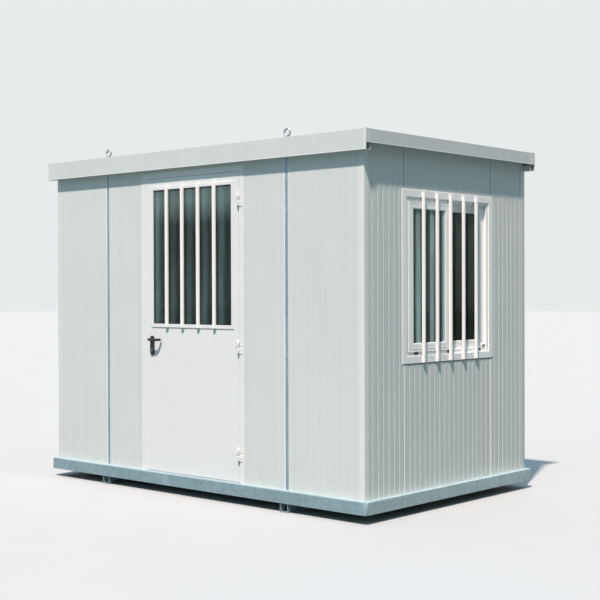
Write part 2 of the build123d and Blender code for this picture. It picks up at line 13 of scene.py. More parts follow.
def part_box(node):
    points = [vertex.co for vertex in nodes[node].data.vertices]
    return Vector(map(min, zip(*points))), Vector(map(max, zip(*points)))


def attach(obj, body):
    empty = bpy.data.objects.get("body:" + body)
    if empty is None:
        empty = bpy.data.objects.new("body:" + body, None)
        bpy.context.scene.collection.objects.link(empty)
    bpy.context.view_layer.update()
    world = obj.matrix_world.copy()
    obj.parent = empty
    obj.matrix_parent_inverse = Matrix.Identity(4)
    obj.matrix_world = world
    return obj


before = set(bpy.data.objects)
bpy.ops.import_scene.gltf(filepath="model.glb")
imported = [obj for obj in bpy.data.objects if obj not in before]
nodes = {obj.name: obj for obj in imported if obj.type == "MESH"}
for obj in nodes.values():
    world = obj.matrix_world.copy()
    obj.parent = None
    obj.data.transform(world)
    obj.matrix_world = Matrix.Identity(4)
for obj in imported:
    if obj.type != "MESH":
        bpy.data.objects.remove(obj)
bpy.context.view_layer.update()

MM = 0.001

# ------------------------------------------------------------------ colours (linear)
WALL_GREY = (0.624, 0.674, 0.646)
FASCIA_GREY = (0.600, 0.655, 0.628)
CAP_GREY = (0.680, 0.717, 0.690)
SHEET_GREY = (0.360, 0.390, 0.375)
DOOR_WHITE = (0.752, 0.785, 0.765)
BAR_WHITE = (0.900, 0.900, 0.870)
WINDOW_WHITE = (0.905, 0.930, 0.900)
ZINC = (0.305, 0.440, 0.485)
ZINC_DARK = (0.200, 0.300, 0.340)
# END_ZINC and END_ZINC_DARK are a lighter copy of the zinc colours for the end rails: painted
# light, so that the right rail, which takes weak sun, looks as light as the front one.
END_ZINC = (0.480, 0.620, 0.640)
END_ZINC_DARK = (0.340, 0.450, 0.470)
ZINC_BLOOM = (0.620, 0.660, 0.680)
PLATE_ZINC = (0.420, 0.470, 0.500)
DUST = (0.420, 0.400, 0.350)
# Ledge colour: settled dust, and painted shade against the strong light from above.
LEDGE_DUST_AND_SHADE = (0.340, 0.350, 0.330)
# Colour of the glass film, for its dust and for its painted reflections.
GLASS_DUST_AND_REFLECTION = (0.480, 0.660, 0.680)
DOOR_TINT = (0.300, 0.440, 0.430)
LEFT_SASH_TINT = (0.330, 0.450, 0.420)
# The right sash's pane takes a darker tint than the left's: painted shade, so that the room behind
# it looks dark.
RIGHT_SASH_SHADED_TINT = (0.200, 0.290, 0.240)
SHADE_TINT = (0.350, 0.430, 0.420)
PLY_LIGHT = (0.330, 0.235, 0.150)
PLY_DARK = (0.215, 0.145, 0.090)
SCUFF = (0.420, 0.380, 0.330)
NYLON_BLACK = (0.016, 0.016, 0.018)
RUBBER_BLACK = (0.030, 0.032, 0.033)
RUBBER_PALE = (0.740, 0.770, 0.765)
SILICONE_WHITE = (0.840, 0.850, 0.840)
SEALANT_GREY = (0.400, 0.480, 0.490)


# ------------------------------------------------------------------ materials
class Nodes:
    """Short calls that add nodes to the tree of one material or world."""

    def __init__(self, owner):
        owner.use_nodes = True
        self.tree = owner.node_tree
        self.tree.nodes.clear()

    def add(self, kind, **settings):
        node = self.tree.nodes.new("ShaderNode" + kind)
        for setting, value in settings.items():
            setattr(node, setting, value)
        return node

    def join(self, source, target):
        self.tree.links.new(source, target)

    def feed(self, socket, value):
        """Link a socket, or set it where the value is plain."""
        if isinstance(value, bpy.types.NodeSocket):
            self.join(value, socket)
        elif isinstance(value, tuple) and len(value) == 3 and socket.type == "RGBA":
            socket.default_value = (*value, 1.0)
        else:
            socket.default_value = value

    def part(self, vector, letter):
        """One axis of a vector."""
        node = self.add("SeparateXYZ")
        self.join(vector, node.inputs[0])
        return node.outputs[letter]

    def spread(self, value, over, to=(0.0, 1.0), kind="LINEAR"):
        """Carry the value from the range (over) to the range (to), held at both ends."""
        node = self.add("MapRange", interpolation_type=kind)
        for index, entry in enumerate((value, *over, *to)):
            self.feed(node.inputs[index], entry)
        return node.outputs[0]

    def compute(self, operation, a, b):
        node = self.add("Math", operation=operation)
        self.feed(node.inputs[0], a)
        self.feed(node.inputs[1], b)
        return node.outputs[0]

    def blend(self, a, b, share, kind="MIX"):
        """Mix two colours by a share."""
        node = self.add("Mix", data_type="RGBA", blend_type=kind)
        self.feed(node.inputs["Factor"], share)
        self.feed(node.inputs[6], a)
        self.feed(node.inputs[7], b)
        return node.outputs[2]

    def switch(self, share, first, second):
        """Mix two shaders by a share."""
        node = self.add("MixShader")
        for index, entry in enumerate((share, first, second)):
            self.join(entry, node.inputs[index])
        return node.outputs[0]


NOISE_SPAN = (0.3, 0.7)  # where most values of a noise lie


class Finish(Nodes):
    """One procedural material: a Principled shader and the colour, roughness and bump that feed it.

    Patterns follow the object's coordinates; their scales are in features per metre.
    """

    def __init__(self, name, colour, roughness, metallic=0.0):
        self.material = bpy.data.materials.new(name)
        super().__init__(self.material)
        self.output = self.add("OutputMaterial")
        self.shader = self.add("BsdfPrincipled")
        self.join(self.shader.outputs[0], self.output.inputs[0])
        self.shader.inputs["Metallic"].default_value = metallic
        self.coords = self.add("TexCoord").outputs["Object"]
        self.colour = colour
        self.roughness = roughness
        self.height = None

    def noise(self, scale, detail=3.0, stretch=None, rough=0.5, warp=0.0):
        """Cloudy noise; stretch scales each axis, so a low value draws it out along that axis."""
        place = self.coords
        if stretch:
            mapping = self.add("Mapping")
            self.join(place, mapping.inputs["Vector"])
            mapping.inputs["Scale"].default_value = stretch
            place = mapping.outputs[0]
        node = self.add("TexNoise")
        self.join(place, node.inputs["Vector"])
        node.inputs["Scale"].default_value = scale
        node.inputs["Detail"].default_value = detail
        node.inputs["Roughness"].default_value = rough
        node.inputs["Distortion"].default_value = warp
        return node.outputs["Fac"]

    def cells(self, scale):
        """One random value for each crystal."""
        node = self.add("TexVoronoi")
        self.join(self.coords, node.inputs["Vector"])
        node.inputs["Scale"].default_value = scale
        channels = self.add("SeparateColor")
        self.join(node.outputs["Color"], channels.inputs[0])
        return channels.outputs[0]

    def axis(self, letter):
        return self.part(self.coords, letter)

    def shade(self, value, over, by):
        """Multiply the colour by a factor: by[0] where the value is over[0], by[1] at over[1]."""
        factor = self.spread(value, over, by)
        tone = self.add("CombineColor")
        for socket in tone.inputs:
            self.join(factor, socket)
        self.colour = self.blend(self.colour, tone.outputs[0], 1.0, "MULTIPLY")

    def stain(self, colour, share):
        self.colour = self.blend(self.colour, colour, share)

    def splash(self, heights, patches, over, most):
        """Patchy ground dust that thins out between two heights."""
        low = self.spread(self.axis("Z"), heights, (1.0, 0.0))
        share = self.compute("MULTIPLY", low, self.spread(patches, over))
        self.stain(DUST, self.compute("MULTIPLY", share, most))

    def vary_roughness(self, value, over, less, more):
        """Let the roughness follow the value, from less below the plain one to more above it."""
        self.roughness = self.spread(value, over, (self.roughness - less, self.roughness + more))

    def raise_by(self, value, depth):
        """Add one layer of bump; depth is its height in metres."""
        node = self.add("Bump")
        node.inputs["Distance"].default_value = depth
        node.inputs["Strength"].default_value = 1.0
        self.join(value, node.inputs["Height"])
        if self.height is not None:
            self.join(self.height, node.inputs["Normal"])
        self.height = node.outputs[0]

    def done(self):
        self.feed(self.shader.inputs["Base Color"], self.colour)
        self.feed(self.shader.inputs["Roughness"], self.roughness)
        if self.height is not None:
            self.join(self.height, self.shader.inputs["Normal"])
        return self.material


def coil_coated(name, colour, roughness, wave=0.0012, splash=True):
    """Painted sheet steel: faint mottle, rain streaks, orange peel, dust low down, and a heavy dust
    colour on ledges that is partly painted shade.
    """
    finish = Finish(name, colour, roughness)
    streaks = finish.noise(scale=1.0, detail=4.0, stretch=(22.0, 22.0, 0.55), rough=0.6)
    finish.shade(finish.noise(scale=0.9, detail=4.0), NOISE_SPAN, by=(0.975, 1.015))
    finish.shade(streaks, over=(0.35, 0.7), by=(1.008, 0.978))
    if splash:
        patches = finish.noise(scale=16.0, detail=6.0)
        finish.splash(heights=(0.14, 0.42), patches=patches, over=(0.45, 0.75), most=0.16)
    # Upward faces take a heavy dust colour: partly dust, partly painted shade that holds down the
    # strong light from above.
    upward = finish.part(finish.add("NewGeometry").outputs["Normal"], "Z")
    ledge_dust_and_shade = finish.spread(upward, over=(0.6, 0.95))
    ledge_patches = finish.spread(finish.noise(scale=9.0, detail=5.0), over=(0.35, 0.7), to=(0.60, 0.92))
    finish.stain(LEDGE_DUST_AND_SHADE, finish.compute("MULTIPLY", ledge_dust_and_shade, ledge_patches))
    finish.vary_roughness(finish.noise(scale=6.0, detail=4.0), NOISE_SPAN, less=0.05, more=0.08)
    if wave:
        bends = finish.noise(scale=1.6, detail=1.0, stretch=(1.6, 1.6, 0.8))
        finish.raise_by(bends, depth=wave * 6)
    finish.raise_by(finish.noise(scale=420.0, detail=2.0), depth=0.00008)
    return finish.done()


def powder_coated(name, colour, roughness=0.32):
    """Smooth powder coat with a fine texture, slight handling marks and specks of dust low down."""
    finish = Finish(name, colour, roughness)
    marks = finish.noise(scale=34.0, detail=5.0, stretch=(1.0, 1.0, 0.2))
    specks = finish.noise(scale=60.0, detail=6.0)
    finish.shade(finish.noise(scale=1.3, detail=3.0), NOISE_SPAN, by=(0.985, 1.01))
    finish.shade(marks, over=(0.3, 0.75), by=(1.0, 0.975))
    finish.splash(heights=(0.15, 0.40), patches=specks, over=(0.52, 0.72), most=0.16)
    finish.vary_roughness(finish.noise(scale=12.0, detail=4.0), NOISE_SPAN, less=0.04, more=0.08)
    finish.raise_by(finish.noise(scale=650.0, detail=2.0), depth=0.00006)
    return finish.done()


def galvanised(name, light, dark, spangle=85.0, metallic=0.35):
    """Hot-dip galvanised steel: crystal spangle, cloudy patina, run marks and dull white bloom."""
    finish = Finish(name, light, 0.46, metallic)
    crystals = finish.cells(spangle)
    cloud = finish.noise(scale=3.2, detail=6.0, rough=0.62)
    runs = finish.noise(scale=1.0, detail=4.0, stretch=(30.0, 30.0, 2.0))
    bloom = finish.noise(scale=11.0, detail=7.0, rough=0.7)
    patches = finish.noise(scale=24.0, detail=5.0)
    finish.stain(dark, finish.spread(cloud, over=(0.35, 0.68), to=(0.0, 0.55)))
    finish.shade(crystals, over=(0.0, 1.0), by=(0.90, 1.10))
    finish.shade(runs, over=(0.35, 0.7), by=(1.04, 0.93))
    finish.stain(ZINC_BLOOM, finish.spread(bloom, over=(0.56, 0.72), to=(0.0, 0.30)))
    finish.splash(heights=(0.0, 0.12), patches=patches, over=(0.4, 0.7), most=0.35)
    finish.vary_roughness(crystals, over=(0.0, 1.0), less=0.10, more=0.14)
    finish.raise_by(crystals, depth=0.00010)
    finish.raise_by(finish.noise(scale=70.0, detail=4.0), depth=0.00018)
    return finish.done()


def film_faced_ply(name):
    """Brown film-faced plywood floor with long grain and scuffs."""
    finish = Finish(name, PLY_LIGHT, 0.55)
    grain = finish.noise(scale=1.0, detail=6.0, stretch=(2.2, 60.0, 60.0), rough=0.65, warp=0.4)
    scuffs = finish.noise(scale=7.0, detail=8.0, rough=0.75)
    finish.stain(PLY_DARK, finish.spread(grain, over=(0.35, 0.68)))
    finish.stain(SCUFF, finish.spread(scuffs, over=(0.58, 0.72), to=(0.0, 0.35)))
    finish.vary_roughness(grain, NOISE_SPAN, less=0.10, more=0.13)
    finish.raise_by(grain, depth=0.0003)
    return finish.done()


def moulded(name, colour, roughness, grain=900.0, depth=0.00005):
    """Moulded nylon, extruded rubber or sealant with a fine matt grain."""
    finish = Finish(name, colour, roughness)
    finish.shade(finish.noise(scale=40.0, detail=4.0), NOISE_SPAN, by=(0.94, 1.06))
    finish.vary_roughness(finish.noise(scale=90.0, detail=4.0), NOISE_SPAN, less=0.06, more=0.08)
    finish.raise_by(finish.noise(scale=grain, detail=2.0), depth)
    return finish.done()


GLASS_IOR = 1.2  # low, so that the pale backdrop does not veil the panes
GLASS_ROUGHNESS = 0.02


def pane(name, tint, film, reflected_bands=None, fades=()):
    """Tinted glass under a thin film of dust and painted reflections; it lets lamps through.

    reflected_bands is (axis, pitch, phase, share): the film is paler in upright bands, a painted
    reflection of the bars in the glass.
    fades are (axis, low, high, share): the film grows paler from low to high along that axis.
    """
    finish = Finish(name, tint, GLASS_ROUGHNESS)
    patches = finish.noise(scale=3.0, detail=5.0, stretch=(1.0, 1.0, 0.4))
    cloud = finish.spread(patches, over=(0.35, 0.7), to=(0.4, 1.3))
    dust_and_reflection = finish.compute("MULTIPLY", cloud, film)
    # Upright bands of paler film are a painted reflection of the bars.
    if reflected_bands:
        letter, pitch, phase, share = reflected_bands
        offset = finish.compute("SUBTRACT", finish.axis(letter), phase)
        across = finish.compute("MULTIPLY", offset, 1 / pitch)
        bends = finish.noise(scale=5.0, detail=2.0, stretch=(1.0, 1.0, 0.3))
        wander = finish.spread(bends, NOISE_SPAN, to=(-0.04, 0.04))
        turn = finish.compute("MULTIPLY", finish.compute("ADD", across, wander), 2 * math.pi)
        bar_reflection = finish.spread(finish.compute("COSINE", turn, 0.0), (0.15, 0.85), to=(0.0, share))
        dust_and_reflection = finish.compute("ADD", dust_and_reflection, finish.compute("MULTIPLY", bar_reflection, cloud))
    for letter, low, high, share in fades:
        paler_film = finish.spread(finish.axis(letter), (low, high), to=(0.0, share))
        dust_and_reflection = finish.compute("ADD", dust_and_reflection, paler_film)
    # The film's colour carries both the dust and the painted reflections.
    finish.stain(GLASS_DUST_AND_REFLECTION, dust_and_reflection)
    smears = finish.noise(scale=1.0, detail=5.0, stretch=(9.0, 9.0, 1.2))
    finish.vary_roughness(smears, over=(0.4, 0.75), less=0.010, more=0.035)
    finish.feed(finish.shader.inputs["Transmission Weight"], finish.compute("SUBTRACT", 1.0, dust_and_reflection))
    finish.shader.inputs["IOR"].default_value = GLASS_IOR
    material = finish.done()
    clear = finish.add("BsdfTransparent")
    finish.feed(clear.inputs["Color"], SHADE_TINT)
    shadow = finish.add("LightPath").outputs["Is Shadow Ray"]
    glass = finish.switch(shadow, finish.shader.outputs[0], clear.outputs[0])
    finish.join(glass, finish.output.inputs[0])
    return material


DOOR_BAR_PITCH = 162.4 * MM
WINDOW_BAR_PITCH = 154 * MM
wall_paint = coil_coated("wall_coating", WALL_GREY, 0.42)
flashing_paint = coil_coated("flashing_coating", CAP_GREY, 0.40, wave=0.0004)
fascia_paint = coil_coated("fascia_coating", FASCIA_GREY, 0.40, wave=0.0006, splash=False)
cap_paint = coil_coated("cap_coating", CAP_GREY, 0.38, wave=0.0, splash=False)
roof_coating = coil_coated("roof_coating", SHEET_GREY, 0.50, wave=0.0, splash=False)
door_paint = powder_coated("door_powder_coat", DOOR_WHITE)
bar_paint = powder_coated("bar_powder_coat", BAR_WHITE, 0.30)
window_coat = powder_coated("window_powder_coat", WINDOW_WHITE, 0.30)
zinc = galvanised("galvanised_steel", ZINC, ZINC_DARK)
zinc_lit_copy = galvanised("end_rail_zinc_lit_copy", END_ZINC, END_ZINC_DARK)
zinc_bright = galvanised("zinc_plate", PLATE_ZINC, ZINC_DARK, spangle=260.0, metallic=0.6)
ply = film_faced_ply("film_faced_plywood")
nylon = moulded("black_nylon", NYLON_BLACK, 0.38)
rubber = moulded("black_rubber", RUBBER_BLACK, 0.62)
pale_rubber = moulded("pale_rubber", RUBBER_PALE, 0.60)
silicone = moulded("white_silicone", SILICONE_WHITE, 0.35, grain=160.0, depth=0.0002)
grey_sealant = moulded("grey_sealant", SEALANT_GREY, 0.55, grain=160.0, depth=0.0002)
# The door pane's film grows paler towards the top, a painted reflection of the sky, and its bands
# are a painted reflection of the bars.
door_pane = pane(
    "door_pane", DOOR_TINT, 0.036,
    reflected_bands=("X", DOOR_BAR_PITCH, -0.046, 0.10), fades=[("Z", 1.93, 2.10, 0.18)],
)
# The left sash's bands are a painted reflection of the bars, and its film is paler along its edge
# at the meeting stile.
left_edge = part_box("left_sash_glass")[1][1]
left_pane = pane(
    "left_sash_pane", LEFT_SASH_TINT, 0.06,
    reflected_bands=("Y", WINDOW_BAR_PITCH, -0.050, 0.60),
    fades=[("Y", left_edge - 42 * MM, left_edge - 24 * MM, 0.50)],
)
# The right sash's film grows paler towards the top: a painted reflection.
right_pane = pane("right_sash_pane", RIGHT_SASH_SHADED_TINT, 0.02, fades=[("Z", 1.35, 1.87, 0.09)])
SHARP_ANGLE = math.radians(40)
BEVEL_SEGMENTS = 2
MERGE_DISTANCE = 0.01 * MM


def dress(material, names, edge=0.0):
    """Give CAD nodes their material, and soften their edges by a bevel of that width."""
    for name in names:
        node = nodes[name]
        if not node.material_slots:
            node.data.materials.append(material)
        for holder in node.material_slots:
            holder.material = material
        if edge:
            weld = node.modifiers.new("weld", "WELD")
            weld.merge_threshold = MERGE_DISTANCE
            soften(node, edge)


def soften(piece, edge):
    """Bevel the sharp edges of an object."""
    bevel = piece.modifiers.new("soft_edges", "BEVEL")
    bevel.width = edge
    bevel.segments = BEVEL_SEGMENTS
    bevel.limit_method = "ANGLE"
    bevel.angle_limit = SHARP_ANGLE
    bevel.harden_normals = True


for material, edge, names in (
    (wall_paint, 0.0, [name for name in nodes if "_wall" in name] + ["roof_panel"]),
    (fascia_paint, 1.2, ["front_eaves_channel", "rear_eaves_channel", "side_fascias"]),
    (cap_paint, 0.6, ["eaves_corner_caps"]),
    (roof_coating, 0.0, ["roof_sheet"]),
    (zinc, 1.4, ["base_long_rails"]),
    # The end rails take the lighter copy of the zinc: painted light.
    (zinc_lit_copy, 1.4, ["base_end_rails"]),
    (zinc, 0.0, ["cross_runners", "underfloor_sheet", "floor_joists", "lifting_posts"]),
    (zinc_bright, 1.5, ["lifting_eyes"]),
    (ply, 0.0, ["floor_board"]),
    (door_paint, 1.2, ["door_latch_jamb", "door_hinge_jamb", "door_head"]),
    (zinc_bright, 1.0, ["door_threshold"]),
    (door_paint, 0.0, ["door_leaf"]),
    (door_paint, 2.0, ["door_glazing_trim_outside", "door_glazing_trim_inside"]),
    (door_paint, 0.5, ["frame_hinges", "leaf_hinges"]),
    (nylon, 1.6, ["handle_plate_outside", "handle_plate_inside"]),
    (nylon, 1.5, ["lever_handle"]),
    (window_coat, 0.9, ["window_frame", "left_sash", "right_sash"]),
    (door_pane, 0.0, ["door_glass"]),
    (left_pane, 0.0, ["left_sash_glass"]),
    (right_pane, 0.0, ["right_sash_glass"]),
):
    dress(material, names, edge * MM)


# ------------------------------------------------------------------ mesh helpers
Wall = namedtuple("Wall", "along across outward normal")
FRONT = Wall(along=0, across=1, outward=-1, normal=(0, -1, 0))
RIGHT = Wall(along=1, across=0, outward=1, normal=(1, 0, 0))


def on(wall, face):
    """Places on a plane parallel to a wall: u along it, v up, height proud of the plane."""
    def place(u, v, height):
        point = [0.0, 0.0, v]
        point[wall.along] = u
        point[wall.across] = face + wall.outward * height
        return tuple(point)
    return place


def rectangle(node, wall):
    """The limits (u low, u high, v low, v high) of a node as seen on a wall."""
    low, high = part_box(node)
    return (low[wall.along], high[wall.along], low[2], high[2])


def in_mm(*points):
    """Points given in millimetres, in metres."""
    return [tuple(value * MM for value in point) for point in points]


class Shape:
    """Collects the faces of one piece."""

    def __init__(self):
        self.mesh = bmesh.new()

    def rings(self, rings):
        return [[self.mesh.verts.new(point) for point in ring] for ring in rings]

    def bar_reflection(self, low, high):
        """Faces between two closed rings."""
        count = len(low)
        for index in range(count):
            following = (index + 1) % count
            self.mesh.faces.new((low[index], low[following], high[following], high[index]))

    def loft(self, rings):
        """Join closed rings of points, in order, and cap both ends."""
        made = self.rings(rings)
        for low, high in zip(made, made[1:]):
            self.bar_reflection(low, high)
        self.mesh.faces.new(list(reversed(made[0])))
        self.mesh.faces.new(made[-1])

    def box(self, low, high):
        x, y, z = zip(low, high)
        corners = ((0, 0), (1, 0), (1, 1), (0, 1))
        self.loft([[(x[i], y[j], z[k]) for i, j in corners] for k in (0, 1)])

    def turned(self, centre, axis, profile, sides=24):
        """Turn a profile of (distance along the axis, radius) points into a solid."""
        axis = Vector(axis).normalized()
        across = axis.orthogonal().normalized()
        up = axis.cross(across)
        centre = Vector(centre)
        rings = []
        for along, radius in profile:
            ring = []
            for index in range(sides):
                turn = 2 * math.pi * index / sides
                reach = across * math.cos(turn) + up * math.sin(turn)
                ring.append(centre + axis * along + reach * radius)
            rings.append(ring)
        self.loft(rings)

    def surround(self, place, window, section, open_below=False):
        """Run a closed section of (inset, height) points round a rectangle with mitred corners.

        Open below, the section leaves out the rectangle's lower side.
        """
        u_low, u_high, v_low, v_high = window
        rings = []
        for u_side, v_side in ((0, 0), (1, 0), (1, 1), (0, 1)):
            rings.append([
                place(
                    u_high - inset if u_side else u_low + inset,
                    v_high - inset if v_side else v_low + inset,
                    height,
                )
                for inset, height in section
            ])
        made = self.rings(rings)
        if open_below:
            self.mesh.faces.new(made[0])
            self.mesh.faces.new(list(reversed(made[1])))
        for side in range(1 if open_below else 0, 4):
            self.bar_reflection(made[side], made[(side + 1) % 4])

    def strip(self, points, low, high, axis):
        """Extrude a closed outline along one axis; its points lie in the other two, in order."""
        order = {"X": (2, 0, 1), "Y": (0, 2, 1), "Z": (0, 1, 2)}[axis]
        rings = []
        for end in (low, high):
            entries = [(first, second, end) for first, second in points]
            rings.append([tuple(entry[i] for i in order) for entry in entries])
        self.loft(rings)


def finish_piece(name, shape, material, body, edge=0.0, smooth_angle=35):
    """Turn a shape into an object that rides on a body."""
    bmesh.ops.recalc_face_normals(shape.mesh, faces=shape.mesh.faces)
    data = bpy.data.meshes.new(name)
    shape.mesh.to_mesh(data)
    shape.mesh.free()
    for face in data.polygons:
        face.use_smooth = True
    data.set_sharp_from_angle(angle=math.radians(smooth_angle))
    data.materials.append(material)
    piece = bpy.data.objects.new(name, data)
    bpy.context.scene.collection.objects.link(piece)
    if edge:
        soften(piece, edge)
    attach(piece, body)


DOME = ((0.0, 1.0), (0.35, 0.97), (0.70, 0.78), (0.93, 0.42), (1.0, 0.10))


def round_head(radius, height):
    """Profile of a domed screw head, as (distance along its axis, radius) points."""
    return [(height * up, radius * out) for up, out in DOME]


# ------------------------------------------------------------------ security bars
BAR_ROUND_STEPS = 20
BAR_SCREW_INSET = 16 * MM
BAR_SCREW_SUNK = 0.8 * MM
BAR_SCREW_HEAD = round_head(4 * MM, 2.4 * MM)
BAR_END_INSET = 3 * MM


def security_bars(prefix, node, wall, body, count, pitch, shift, size, insets):
    """Upright tubes with a flat back and a round front, each with a screw near both ends.

    They stand on the outer face of a node. shift moves them along from its middle, size is
    (width, depth), and insets are the distances of their ends from its lower and upper edge.
    """
    limits = rectangle(node, wall)
    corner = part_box(node)[1 if wall.outward > 0 else 0]
    place = on(wall, corner[wall.across])
    middle = (limits[0] + limits[1]) / 2 + shift
    width, depth = size
    radius = width / 2
    low, high = limits[2] + insets[0], limits[3] - insets[1]
    bars, screws = Shape(), Shape()
    for index in range(count):
        centre = middle + (index - (count - 1) / 2) * pitch
        outline = [(centre - radius, 0.0), (centre + radius, 0.0)]
        for step in range(BAR_ROUND_STEPS + 1):
            turn = math.pi * step / BAR_ROUND_STEPS
            rise = depth - radius * (1 - math.sin(turn))
            outline.append((centre + radius * math.cos(turn), rise))
        bars.strip([place(u, 0.0, height)[:2] for u, height in outline], low, high, "Z")
        for level in (low + BAR_SCREW_INSET, high - BAR_SCREW_INSET):
            head = place(centre, level, depth - BAR_SCREW_SUNK)
            screws.turned(head, wall.normal, BAR_SCREW_HEAD)
    finish_piece(prefix + "_security_bars", bars, bar_paint, body)
    finish_piece(prefix + "_bar_screws", screws, bar_paint, body)


security_bars(
    "door", "door_glazing_trim_outside", FRONT, "door", count=4, pitch=DOOR_BAR_PITCH,
    shift=-6 * MM, size=(30 * MM, 18 * MM), insets=(BAR_END_INSET, BAR_END_INSET),
)
security_bars(
    "window", "window_frame", RIGHT, "cabin", count=5, pitch=WINDOW_BAR_PITCH,
    shift=7 * MM, size=(28 * MM, 17 * MM), insets=(BAR_END_INSET, 14 * MM),
)

# ------------------------------------------------------------------ glazing gaskets and beads
GASKET_SECTION = in_mm((0.0, 0.0), (3.5, 0.0), (3.5, 1.0), (2.1, 2.0), (0.0, 2.0))
GASKET_RISE = 2.0 * MM


def gasket(name, node, wall, body):
    """Black rubber ring on both faces of a pane, along its edge."""
    shape = Shape()
    for corner, outward in zip(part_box(node), (-1, 1)):
        place = on(wall._replace(outward=outward), corner[wall.across])
        shape.surround(place, rectangle(node, wall), GASKET_SECTION)
    finish_piece(name, shape, rubber, body)


gasket("door_glass_gasket", "door_glass", FRONT, "door")
gasket("left_sash_gasket", "left_sash_glass", RIGHT, "cabin")
gasket("right_sash_gasket", "right_sash_glass", RIGHT, "cabin")

# A glazing bead slopes from each sash down to its pane, and two ribs run round the sash.
BEAD_WIDTH = 6 * MM
BEAD_FOOT = 0.45
BEAD_SHOULDER = 0.85
BEAD_SUNK = 0.2 * MM
RIB_WIDTH = 3.5
SASH_RIBS = ((0.0, 1.6), (16.0, 1.28))  # (inset, rise) in mm
for sash_name in ("left_sash", "right_sash"):
    glass_name = sash_name + "_glass"
    glass_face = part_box(glass_name)[1][0]
    sash_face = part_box(sash_name)[1][0]
    bead_depth = sash_face - glass_face
    bead = Shape()
    bead.surround(on(RIGHT, glass_face), rectangle(glass_name, RIGHT), [
        (0.0, GASKET_RISE),
        (BEAD_WIDTH, GASKET_RISE),
        (BEAD_WIDTH, bead_depth * BEAD_FOOT),
        (BEAD_WIDTH / 2, bead_depth * BEAD_SHOULDER),
        (0.0, bead_depth - BEAD_SUNK),
    ])
    finish_piece(sash_name + "_bead", bead, window_coat, "cabin", 0.4 * MM)
    ribs = Shape()
    for inset, rise in SASH_RIBS:
        section = in_mm(
            (inset, 0.0), (inset + RIB_WIDTH, 0.0), (inset + RIB_WIDTH, rise), (inset, rise)
        )
        ribs.surround(on(RIGHT, sash_face), rectangle(sash_name, RIGHT), section)
    finish_piece(sash_name + "_profile", ribs, window_coat, "cabin", 0.5 * MM)

# Sealant closes the top and the sides of the window flange, and the foot stays open to drain.
WINDOW_SEALANT_SECTION = in_mm(
    (-5.0, -1.2), (-5.0, 0.2), (-3.0, 1.1), (-0.5, 2.4), (0.0, 2.4), (0.0, -1.2)
)
opening = rectangle("window_frame", RIGHT)
wall_face_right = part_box("right_wall_front")[1][0]
sealant = Shape()
sealant.surround(on(RIGHT, wall_face_right), opening, WINDOW_SEALANT_SECTION, open_below=True)
finish_piece("window_sealant", sealant, silicone, "cabin")

# A dark rubber strip under the foot of the flange is painted shadow: it darkens the line where the
# flange casts its shadow on the wall.
FLANGE_SHADE_STRIP_SECTION = in_mm((-1.2, -5.0), (2.2, -4.0), (3.0, -0.2), (-1.2, -0.2))  # (out, up)
FLANGE_SHADE_STRIP_SPARE = 1 * MM
flange_shade_strip = Shape()
flange_shade_strip.strip(
    [(wall_face_right + out, opening[2] + up) for out, up in FLANGE_SHADE_STRIP_SECTION],
    opening[0] - FLANGE_SHADE_STRIP_SPARE, opening[1] + FLANGE_SHADE_STRIP_SPARE, "Y",
)
finish_piece("window_flange_shade_strip", flange_shade_strip, rubber, "cabin")

# ------------------------------------------------------------------ walls and base
wall_face_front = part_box("front_wall_left")[0][1]
wall_face_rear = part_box("rear_wall_left")[1][1]
wall_face_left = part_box("left_wall")[0][0]
rail_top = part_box("front_wall_left")[0][2]
eaves_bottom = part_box("front_eaves_channel")[0][2]
wall_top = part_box("right_wall_front")[1][2]
front_and_rear = ((wall_face_front, -1), (wall_face_rear, 1))

# Folded angles cover the four wall corners; their plan is given outward from the corner.
FLASHING_PLAN = in_mm(
    (-45.0, -0.8), (-45.0, 0.8), (-1.2, 0.8), (0.2, 0.2),
    (0.8, -1.2), (0.8, -45.0), (-0.8, -45.0), (-0.8, -0.8),
)
FLASHING_GAP = 1 * MM
flashings = Shape()
for x_face, x_out in ((wall_face_left, -1), (wall_face_right, 1)):
    for y_face, y_out in front_and_rear:
        flashings.strip(
            [(x_face + x_out * x, y_face + y_out * y) for x, y in FLASHING_PLAN],
            rail_top + FLASHING_GAP, eaves_bottom - FLASHING_GAP, "Z",
        )
finish_piece("corner_flashings", flashings, flashing_paint, "cabin")

# Sealant fills the joint on both sides of each lifting post.
POST_BEAD_PLAN = in_mm((4.5, 0.3), (1.8, 0.1), (-0.8, -1.4), (-0.8, -3.0), (4.5, -3.0))
POST_BEAD_GAP = 2 * MM
posts_low, posts_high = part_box("lifting_posts")
post_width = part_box("front_wall_latch_side")[0][0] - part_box("front_wall_left")[1][0]
post_beads = Shape()
for x_low in (posts_low[0], posts_high[0] - post_width):
    for y_face, y_out in front_and_rear:
        for edge_x, away in ((x_low, -1), (x_low + post_width, 1)):
            post_beads.strip(
                [(edge_x + away * x, y_face + y_out * y) for x, y in POST_BEAD_PLAN],
                rail_top, eaves_bottom - POST_BEAD_GAP, "Z",
            )
finish_piece("post_sealant", post_beads, silicone, "cabin")

